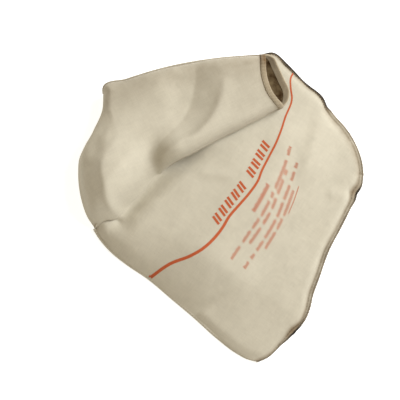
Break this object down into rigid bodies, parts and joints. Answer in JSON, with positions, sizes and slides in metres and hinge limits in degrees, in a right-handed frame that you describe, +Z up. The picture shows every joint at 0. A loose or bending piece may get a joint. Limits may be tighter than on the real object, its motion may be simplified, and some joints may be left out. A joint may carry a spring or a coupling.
{
  "type": "dust collector bag",
  "caption": "Sewn cotton canvas dust bag for a floor sander, empty and lying flat, with its tapered neck folded over the body and an elastic mouth.",
  "frame": {"origin": "on the resting face, midway between the two ends of the printed fill line", "axes": "+X along the fill line, +Y from the bottom seam towards the fold of the neck, +Z up off the surface it lies on"},
  "size_m": [0.3031, 0.3454, 0.0564],
  "materials": {
    "canvas_plain": "natural cotton canvas, plain weave",
    "canvas_printed": "natural cotton canvas, plain weave",
    "hem_cloth": "cotton canvas band, soiled",
    "thread": "spun cotton thread",
    "elastic": "braided elastic",
    "ink": "screen-printed ink"
  },
  "bodies": {
    "root": {"back_panel": "canvas_plain", "front_panel": "canvas_printed", "seam_stitching": "thread", "seam_overlock": "thread", "neck_stitching": "thread", "neck_overlock": "thread", "mouth_hem": "hem_cloth", "mouth_elastic": "elastic", "hem_stitching": "thread", "fill_line_print": "ink", "fill_marks_print": "ink", "notice_print": "ink"}
  },
  "joints": []
}
